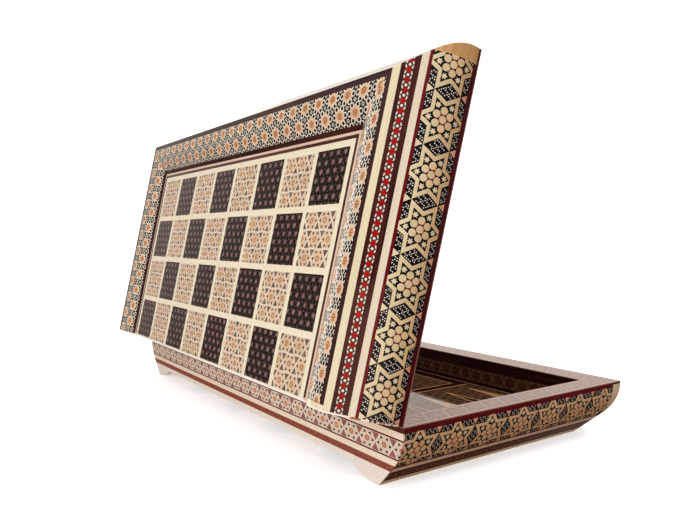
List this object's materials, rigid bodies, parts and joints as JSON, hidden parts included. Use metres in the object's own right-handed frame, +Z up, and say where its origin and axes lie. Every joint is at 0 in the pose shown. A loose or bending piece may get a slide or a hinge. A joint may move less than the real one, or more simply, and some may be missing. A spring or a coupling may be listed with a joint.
{
  "type": "folding chess and backgammon box",
  "caption": "Folding inlaid games box with a chess field on its outside, a backgammon well inside, moulded mosaic sides and a hinged lid standing open.",
  "frame": {"origin": "middle of the bounding box of the open box, on the table plane", "axes": "+X along the hinge, +Y from the hinge towards the tray's front, +Z up"},
  "size_m": [0.5, 0.2968, 0.2931],
  "materials": {
    "core_wood": "satin",
    "cream_inlay": "gloss",
    "brown_veneer": "gloss",
    "wine_veneer": "gloss",
    "hinge_face_brown": "gloss",
    "corner_wood": "gloss",
    "tan_line": "gloss",
    "edge_strips": "gloss",
    "light_mosaic": "gloss",
    "dark_mosaic": "gloss",
    "border_mosaic": "gloss",
    "star_mosaic": "gloss",
    "chain_mosaic": "gloss",
    "hinge_face_mosaic": "gloss",
    "rim_mosaic": "gloss",
    "wall_mosaic": "gloss",
    "panel_mosaic": "gloss",
    "light_point_mosaic": "gloss",
    "dark_point_mosaic": "gloss",
    "brass": "satin"
  },
  "bodies": {
    "base": {"base_left_rail": "core_wood", "base_right_rail": "core_wood", "base_front_rail": "core_wood", "base_hinge_rail": "core_wood", "base_board": "core_wood", "base_light_squares": "light_mosaic", "base_dark_squares": "dark_mosaic", "base_chess_lattice": "cream_inlay", "base_field_lines": "brown_veneer", "base_border_bands": "border_mosaic", "base_border_edge_strips": "edge_strips", "base_cream_strips": "cream_inlay", "base_brown_strips": "brown_veneer", "base_star_chain_strips": "chain_mosaic", "base_star_bands": "star_mosaic", "base_corner_fillers": "corner_wood", "base_rim_veneers": "rim_mosaic", "base_back_cream_strips": "cream_inlay", "base_back_brown_strips": "hinge_face_brown", "base_back_rosette_band": "hinge_face_mosaic", "base_wine_strips": "wine_veneer", "base_wall_bands": "wall_mosaic", "base_well_lines": "tan_line", "base_well_dark_strips": "wine_veneer", "base_well_panels": "panel_mosaic", "base_light_points": "light_point_mosaic", "base_dark_points": "dark_point_mosaic", "base_hinge_leaves": "brass", "base_hinge_pins": "brass", "base_hinge_screws": "brass"},
    "lid": {"lid_left_rail": "core_wood", "lid_right_rail": "core_wood", "lid_front_rail": "core_wood", "lid_hinge_rail": "core_wood", "lid_board": "core_wood", "lid_light_squares": "light_mosaic", "lid_dark_squares": "dark_mosaic", "lid_chess_lattice": "cream_inlay", "lid_field_lines": "brown_veneer", "lid_border_bands": "border_mosaic", "lid_border_edge_strips": "edge_strips", "lid_cream_strips": "cream_inlay", "lid_brown_strips": "brown_veneer", "lid_star_chain_strips": "chain_mosaic", "lid_star_bands": "star_mosaic", "lid_corner_fillers": "corner_wood", "lid_rim_veneers": "rim_mosaic", "lid_back_cream_strips": "cream_inlay", "lid_back_brown_strips": "hinge_face_brown", "lid_back_rosette_band": "hinge_face_mosaic", "lid_wine_strips": "wine_veneer", "lid_wall_bands": "wall_mosaic", "lid_well_lines": "tan_line", "lid_well_dark_strips": "wine_veneer", "lid_well_panels": "panel_mosaic", "lid_light_points": "light_point_mosaic", "lid_dark_points": "dark_point_mosaic", "lid_hinge_leaves": "brass", "lid_hinge_screws": "brass"}
  },
  "joints": [
    {"name": "lid_hinge", "type": "hinge", "parent": "base", "child": "lid", "pos_m": [0, -0.10161, 0.04825], "axis": [1, 0, 0], "range_deg": [-76, 104]}
  ]
}
